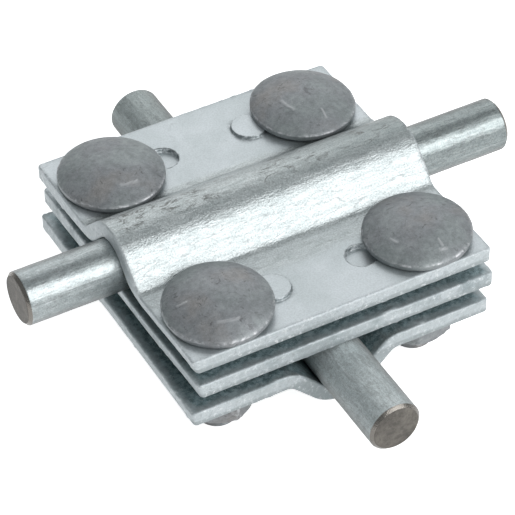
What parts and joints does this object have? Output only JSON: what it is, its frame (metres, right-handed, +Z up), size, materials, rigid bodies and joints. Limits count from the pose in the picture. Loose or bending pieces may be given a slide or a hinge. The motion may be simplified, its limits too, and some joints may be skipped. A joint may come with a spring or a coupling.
{
  "type": "cross connector clamp",
  "caption": "Square cross clamp of two channelled pressed plates and a flat middle plate, bolted round two crossing round conductors.",
  "frame": {"origin": "on the plane of the four bolt ends that the clamp stands on, midway between the bolts", "axes": "+X along the upper conductor, +Y along the lower conductor, +Z up, from the nuts to the heads"},
  "size_m": [0.0979, 0.0992, 0.0321],
  "materials": {
    "plates": "bright hot-dip galvanised, slightly uneven",
    "conductors": "galvanised, streaked along its length, bare cut ends",
    "bolts": "dull dark grey hot-dip galvanised",
    "nuts": "dull grey hot-dip galvanised"
  },
  "bodies": {
    "top": {"top_plate": "plates", "bolt_back_left": "bolts", "bolt_back_right": "bolts", "bolt_front_left": "bolts", "bolt_front_right": "bolts"},
    "middle_jaw": {"middle_plate": "plates"},
    "lower_jaw": {"bottom_plate": "plates"},
    "upper_conductor": {"upper_conductor": "conductors"},
    "lower_conductor": {"lower_conductor": "conductors"},
    "nut_back_left": {"nut_back_left": "nuts"},
    "nut_back_right": {"nut_back_right": "nuts"},
    "nut_front_left": {"nut_front_left": "nuts"},
    "nut_front_right": {"nut_front_right": "nuts"}
  },
  "joints": [
    {"name": "lower_plate_drop", "type": "slide", "parent": "top", "child": "lower_jaw", "axis": [0, 0, -1], "range_m": [0, 0.0025]},
    {"name": "middle_plate_drop", "type": "slide", "parent": "top", "child": "middle_jaw", "axis": [0, 0, -1], "range_m": [0, 0.00125]},
    {"name": "upper_conductor_slide", "type": "slide", "parent": "middle_jaw", "child": "upper_conductor", "axis": [1, 0, 0], "range_m": [-0.015, 0.015]},
    {"name": "lower_conductor_slide", "type": "slide", "parent": "lower_jaw", "child": "lower_conductor", "axis": [0, 1, 0], "range_m": [-0.015, 0.015]},
    {"name": "nut_back_left_turn", "type": "hinge", "parent": "lower_jaw", "child": "nut_back_left", "pos_m": [-0.02024, 0.02024, 0.0065], "axis": [0, 0, -1], "range_deg": [0, 720]},
    {"name": "nut_back_right_turn", "type": "hinge", "parent": "lower_jaw", "child": "nut_back_right", "pos_m": [0.02024, 0.02024, 0.0065], "axis": [0, 0, -1], "range_deg": [0, 720]},
    {"name": "nut_front_left_turn", "type": "hinge", "parent": "lower_jaw", "child": "nut_front_left", "pos_m": [-0.02024, -0.02024, 0.0065], "axis": [0, 0, -1], "range_deg": [0, 720]},
    {"name": "nut_front_right_turn", "type": "hinge", "parent": "lower_jaw", "child": "nut_front_right", "pos_m": [0.02024, -0.02024, 0.0065], "axis": [0, 0, -1], "range_deg": [0, 720]}
  ],
  "couplings": [
    {"joint": "middle_plate_drop", "follows": "lower_plate_drop", "ratio": 0.5},
    {"joint": "nut_back_left_turn", "follows": "lower_plate_drop", "rad_per_m": 5026.5},
    {"joint": "nut_back_right_turn", "follows": "lower_plate_drop", "rad_per_m": 5026.5},
    {"joint": "nut_front_left_turn", "follows": "lower_plate_drop", "rad_per_m": 5026.5},
    {"joint": "nut_front_right_turn", "follows": "lower_plate_drop", "rad_per_m": 5026.5}
  ]
}
